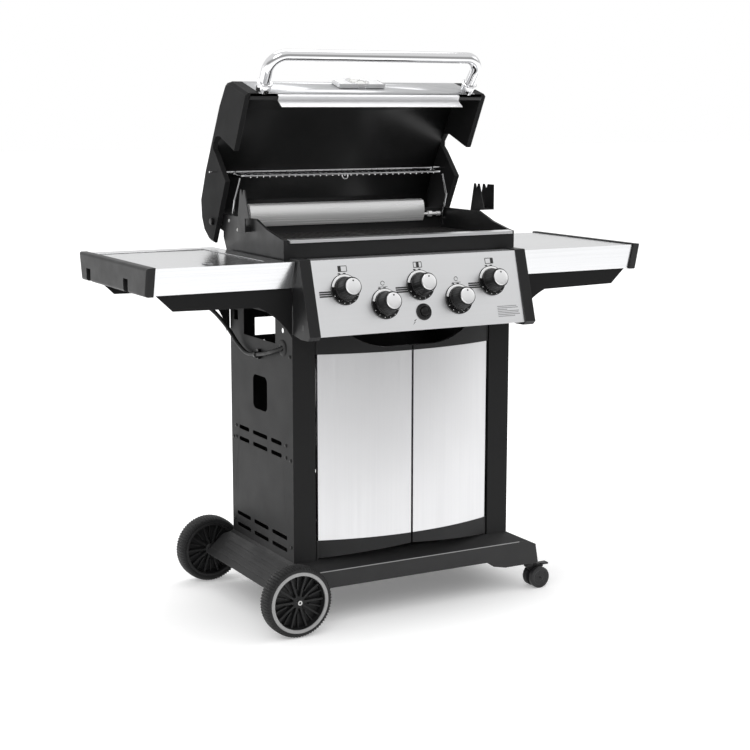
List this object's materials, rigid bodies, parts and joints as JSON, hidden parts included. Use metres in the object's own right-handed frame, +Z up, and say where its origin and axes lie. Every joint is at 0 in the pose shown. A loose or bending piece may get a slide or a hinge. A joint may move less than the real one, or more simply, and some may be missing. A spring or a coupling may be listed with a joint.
{
  "type": "gas barbecue grill",
  "caption": "Wheeled gas barbecue with an open hooded lid, side shelves, a flush side burner, front control knobs and a cabinet with bowed doors.",
  "frame": {"origin": "centre of the bounding box's bottom face, on the ground", "axes": "+Z up, -Y towards the control panel and doors, +X towards the plain shelf, away from the side burner"},
  "size_m": [1.46, 0.6473, 1.4718],
  "materials": {
    "black_tray": "moulded, fine grain",
    "black_steel": "satin black powder coat",
    "black_enamel": "semi-gloss black enamel",
    "cast_black": "die casting with semi-gloss black enamel",
    "black_plastic": "moulded, satin",
    "stainless": "long-grain brushed",
    "chrome": "bright plated",
    "cast_iron": "matte enamelled iron",
    "burner_steel": "plain stainless tube",
    "brass": "bare brass",
    "hose_rubber": "smooth black rubber",
    "zinc": "zinc plated",
    "wheel_plastic": "moulded black",
    "tyre_plastic": "hard black tread",
    "caster_grey": "grey moulded",
    "knob_silver": "metallised grey"
  },
  "bodies": {
    "cart": {"base_tray": "black_tray", "side_panel_left": "black_steel", "side_panel_right": "black_steel", "rear_panel": "black_steel", "front_frame": "black_steel", "firebox": "cast_black", "firebox_trim": "stainless", "cooking_grids": "cast_iron", "heat_tents": "burner_steel", "main_burners": "burner_steel", "rear_burner": "stainless", "rotisserie_bracket_left": "black_enamel", "rotisserie_bracket_right": "black_enamel", "control_panel": "stainless", "panel_cheek_left": "black_plastic", "panel_cheek_right": "black_plastic", "knob_bezels": "chrome", "gas_manifold": "brass", "shelf_left": "stainless", "shelf_cap_left": "black_plastic", "shelf_right": "stainless", "shelf_cap_right": "black_plastic", "shelf_brackets": "black_steel", "side_burner_bowl": "black_enamel", "side_burner_head": "brass", "side_burner_grate": "cast_iron", "side_burner_hose": "hose_rubber", "hose_clip": "zinc", "axle": "zinc", "pan_rails": "zinc", "fasteners": "zinc"},
    "lid": {"lid_cap_left": "cast_black", "lid_cap_right": "cast_black", "lid_shell": "stainless", "lid_liner": "black_enamel", "lid_handle": "stainless", "handle_boots": "chrome", "thermometer": "chrome"},
    "rack": {"warming_rack": "chrome"},
    "legs": {"rack_legs": "chrome"},
    "igniter": {"igniter_button": "black_plastic"},
    "door_left": {"door_panel_left": "stainless", "door_trim_left": "black_plastic"},
    "door_right": {"door_panel_right": "stainless", "door_trim_right": "black_plastic"},
    "burner_lid": {"side_burner_lid": "stainless"},
    "pan": {"drip_pan": "zinc"},
    "wheel_front": {"wheel_front_tyre": "tyre_plastic", "wheel_front_hub": "wheel_plastic"},
    "wheel_rear": {"wheel_rear_tyre": "tyre_plastic", "wheel_rear_hub": "wheel_plastic"},
    "swivel_front": {"caster_front_housing": "wheel_plastic"},
    "rollers_front": {"caster_front_wheels": "caster_grey"},
    "swivel_rear": {"caster_rear_housing": "wheel_plastic"},
    "rollers_rear": {"caster_rear_wheels": "caster_grey"},
    "knob_1": {"knob_1": "knob_silver"},
    "knob_2": {"knob_2": "knob_silver"},
    "knob_3": {"knob_3": "knob_silver"},
    "knob_4": {"knob_4": "knob_silver"},
    "knob_5": {"knob_5": "knob_silver"}
  },
  "joints": [
    {"name": "lid_hinge", "type": "hinge", "parent": "cart", "child": "lid", "pos_m": [0, 0.225, 1.02], "axis": [1, 0, 0], "range_deg": [0, 57]},
    {"name": "rack_hinge", "type": "hinge", "parent": "lid", "child": "rack", "pos_m": [0, 0.197, 1.154], "axis": [1, 0, 0], "range_deg": [-57, 0]},
    {"name": "leg_hinge", "type": "hinge", "parent": "cart", "child": "legs", "pos_m": [0, 0.176, 1.01], "axis": [1, 0, 0], "range_deg": [0, 57]},
    {"name": "knob_1_turn", "type": "hinge", "parent": "cart", "child": "knob_1", "pos_m": [-0.218, -0.27124, 0.87773], "axis": [0, -0.9603, 0.279], "range_deg": [0, 225]},
    {"name": "knob_2_turn", "type": "hinge", "parent": "cart", "child": "knob_2", "pos_m": [-0.109, -0.2831, 0.83692], "axis": [0, -0.9603, 0.279], "range_deg": [0, 225]},
    {"name": "knob_3_turn", "type": "hinge", "parent": "cart", "child": "knob_3", "pos_m": [0, -0.27124, 0.87773], "axis": [0, -0.9603, 0.279], "range_deg": [0, 225]},
    {"name": "knob_4_turn", "type": "hinge", "parent": "cart", "child": "knob_4", "pos_m": [0.109, -0.2831, 0.83692], "axis": [0, -0.9603, 0.279], "range_deg": [0, 225]},
    {"name": "knob_5_turn", "type": "hinge", "parent": "cart", "child": "knob_5", "pos_m": [0.218, -0.27124, 0.87773], "axis": [0, -0.9603, 0.279], "range_deg": [0, 225]},
    {"name": "igniter_push", "type": "slide", "parent": "cart", "child": "igniter", "axis": [0, 0.9603, -0.279], "range_m": [0, 0.004], "stiffness_N_per_m": 400},
    {"name": "door_left_hinge", "type": "hinge", "parent": "cart", "child": "door_left", "pos_m": [-0.2565, -0.18, 0.458], "axis": [0, 0, -1], "range_deg": [0, 86]},
    {"name": "door_right_hinge", "type": "hinge", "parent": "cart", "child": "door_right", "pos_m": [0.2565, -0.18, 0.458], "axis": [0, 0, 1], "range_deg": [0, 86]},
    {"name": "side_burner_lid_hinge", "type": "hinge", "parent": "cart", "child": "burner_lid", "pos_m": [-0.551, 0.198, 0.943], "axis": [-1, 0, 0], "range_deg": [0, 100]},
    {"name": "drip_pan_slide", "type": "slide", "parent": "cart", "child": "pan", "axis": [0, 1, 0], "range_m": [0, 0.28]},
    {"name": "wheel_front_spin", "type": "hinge", "parent": "cart", "child": "wheel_front", "pos_m": [-0.365, -0.275, 0.0924], "axis": [0, 1, 0], "continuous": true},
    {"name": "wheel_rear_spin", "type": "hinge", "parent": "cart", "child": "wheel_rear", "pos_m": [-0.365, 0.289, 0.0924], "axis": [0, 1, 0], "continuous": true},
    {"name": "caster_front_swivel", "type": "hinge", "parent": "cart", "child": "swivel_front", "pos_m": [0.386, -0.214, 0.086], "axis": [0, 0, 1], "continuous": true},
    {"name": "caster_front_roll", "type": "hinge", "parent": "swivel_front", "child": "rollers_front", "pos_m": [0.412, -0.214, 0.03], "axis": [0, 1, 0], "continuous": true},
    {"name": "caster_rear_swivel", "type": "hinge", "parent": "cart", "child": "swivel_rear", "pos_m": [0.386, 0.228, 0.086], "axis": [0, 0, 1], "continuous": true},
    {"name": "caster_rear_roll", "type": "hinge", "parent": "swivel_rear", "child": "rollers_rear", "pos_m": [0.412, 0.228, 0.03], "axis": [0, 1, 0], "continuous": true}
  ],
  "couplings": [
    {"joint": "rack_hinge", "follows": "lid_hinge", "ratio": -1},
    {"joint": "leg_hinge", "follows": "lid_hinge", "ratio": 1}
  ]
}
